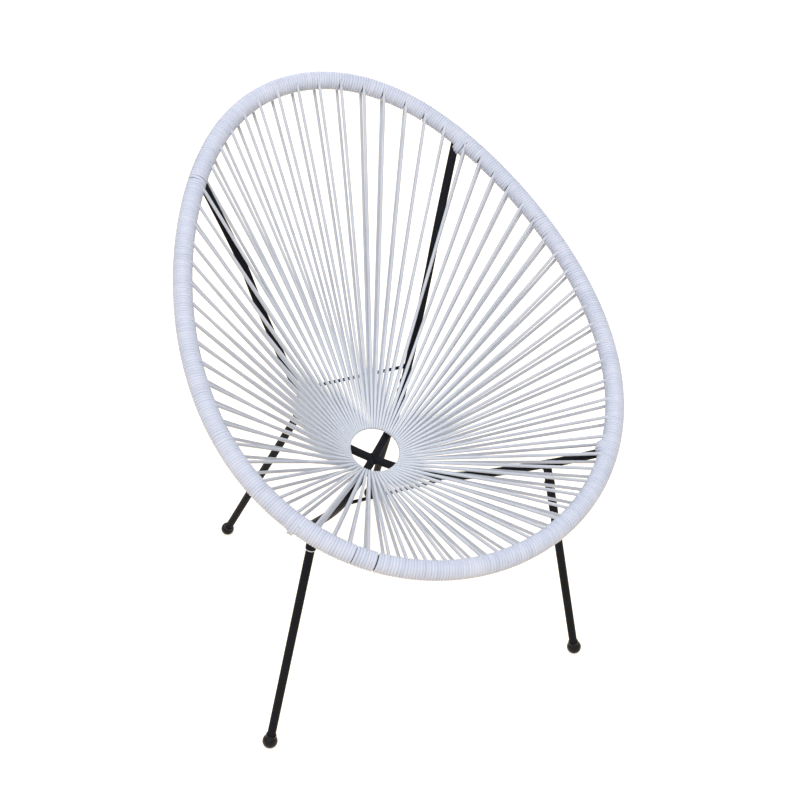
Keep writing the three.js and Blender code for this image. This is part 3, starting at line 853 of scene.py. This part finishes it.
for name, side, rearPath, frontPath in (("left", -1, throughPath, cutPath),
                                        ("right", 1, cutPath, throughPath)):
    frontTop = barBend("frontWeld", side, "frontLeg")
    frontFoot = np.array([side * legs["frontFoot"][0], legs["frontFoot"][1], feet["centreZ"]]) + shift
    rearTop = barPointAtHeight(rearPath, tieEnd("rear", side)[2] - bars["rearLegDrop"])
    rearFoot = np.array([side * legs["rearFoot"][0], legs["rearFoot"][1], feet["centreZ"]]) + shift
    makeLeg(f"front_{name}", frontTop, frontFoot)
    makeLeg(f"rear_{name}", rearTop, rearFoot)
    makeWeld(f"weldFrontLeg_{name}", frontTop, unit(frontFoot - frontTop), legs["radius"], frontPath)
    makeWeld(f"weldRearLeg_{name}", rearTop, unit(rearFoot - rearTop), legs["radius"], rearPath)
    tieWay = np.array([-side, 0.0, 0.0])
    makeWeld(f"weldRearTie_{name}", tieEnd("rear", side), tieWay, ties["radius"], rearPath)
    under = barBend("frontWeld", side, "frontTie") - np.array([0.0, 0.0, bars["radius"]])
    around = np.linspace(0.0, 2 * math.pi, weld["loopPoints"], endpoint=False)[:, None]
    tieLoop = (weld["tieLoop"][0] * np.cos(around) * np.array([1.0, 0.0, 0.0])
               + weld["tieLoop"][1] * np.sin(around) * np.array([0.0, 1.0, 0.0]))
    makeBead(f"weldFrontTie_{name}", under + tieLoop)

for name, path in (("rear", cutPath[:crossingStep + 1][::-1]), ("front", cutPath[crossingStep:])):
    way = unit(path[weld["axisSteps"]] - path[0])
    makeWeld(f"weldCrossing_{name}", path[0], way, bars["radius"], throughPath)
print("legs, feet and welds made")


room = dict(
    floorSize=14.0, floorColour="#F2E2CA", lift=0.66, worldLight=0.43, backdrop=1.0,
    camera=(-0.8303, -1.9066, 1.6647), azimuth=-24.595, elevation=29.844, lens=65.37, sensor=36.0,
    aim=(0.0, 0.0, 0.5),
)
lamps = (              # place, size, power
    ("keyLamp", (-1.2, -5.5, 9.0), 5.0, 540.0),
    ("fillLamp", (-2.8, -1.6, 2.0), 2.4, 16.0),
    ("backLamp", (0.4, 2.8, 2.6), 2.0, 30.0),
)


# One where the camera looks straight at a surface, or sees it in metal or through glass
def seenDirectly(tree):
    rays = addNode(tree, "ShaderNodeLightPath").outputs
    either = addNode(tree, "ShaderNodeMath", {0: rays["Is Camera Ray"], 1: rays["Is Glossy Ray"]},
                     operation="MAXIMUM").outputs[0]
    return addNode(tree, "ShaderNodeMath", {0: either, 1: rays["Is Transmission Ray"]},
                   operation="MAXIMUM").outputs[0]


def makeFloor():
    material, tree = newMaterial("pale floor")
    pale = addNode(tree, "ShaderNodeBsdfDiffuse", {"Color": linear(room["floorColour"])}).outputs[0]
    strength = addNode(tree, "ShaderNodeMath", {0: seenDirectly(tree), 1: room["lift"]},
                       operation="MULTIPLY").outputs[0]
    glow = addNode(tree, "ShaderNodeEmission", {"Strength": strength}).outputs[0]
    mixed = addNode(tree, "ShaderNodeAddShader", {0: pale, 1: glow}).outputs[0]
    addNode(tree, "ShaderNodeOutputMaterial", {"Surface": mixed})
    half = room["floorSize"] / 2
    mesh = bpy.data.meshes.new("floor")
    corners = [(-half, -half, 0), (half, -half, 0), (half, half, 0), (-half, half, 0)]
    mesh.from_pydata(corners, [], [(0, 1, 2, 3)])
    mesh.materials.append(material)
    floor = bpy.data.objects.new("floor", mesh)
    bpy.context.scene.collection.objects.link(floor)


def makeWorld():
    world = bpy.data.worlds.new("studio")
    world.use_nodes = True
    tree = world.node_tree
    tree.nodes.clear()
    strength = addNode(tree, "ShaderNodeMapRange", {
        "Value": seenDirectly(tree), "To Min": room["worldLight"], "To Max": room["backdrop"],
    }).outputs[0]
    light = addNode(tree, "ShaderNodeBackground", {
        "Color": linear("#FFFFFF"), "Strength": strength}).outputs[0]
    addNode(tree, "ShaderNodeOutputWorld", {"Surface": light})
    bpy.context.scene.world = world


def makeLamp(name, place, size, power):
    lamp = bpy.data.lights.new(name, "AREA")
    lamp.shape, lamp.size, lamp.energy = "SQUARE", size, power
    holder = bpy.data.objects.new(name, lamp)
    holder.location = place
    holder.rotation_euler = (Vector(room["aim"]) - Vector(place)).to_track_quat("-Z", "Y").to_euler()
    bpy.context.scene.collection.objects.link(holder)


def makeCamera():
    lens = bpy.data.cameras.new("camera")
    lens.lens, lens.sensor_width, lens.sensor_fit = room["lens"], room["sensor"], "HORIZONTAL"
    a, e = math.radians(room["azimuth"]), math.radians(room["elevation"])
    back = Vector((math.sin(a) * math.cos(e), -math.cos(a) * math.cos(e), math.sin(e)))
    right = Vector((math.cos(a), math.sin(a), 0.0))
    camera = bpy.data.objects.new("camera", lens)
    camera.matrix_world = Matrix.Translation(Vector(room["camera"]) + Vector(shift * mm)) @ Matrix(
        (right, back.cross(right), back)).transposed().to_4x4()
    bpy.context.scene.collection.objects.link(camera)
    bpy.context.scene.camera = camera


makeFloor()
makeWorld()
for name, place, size, power in lamps:
    makeLamp(name, place, size, power)
makeCamera()
bpy.context.scene.view_settings.view_transform = "Standard"

print("scene made")
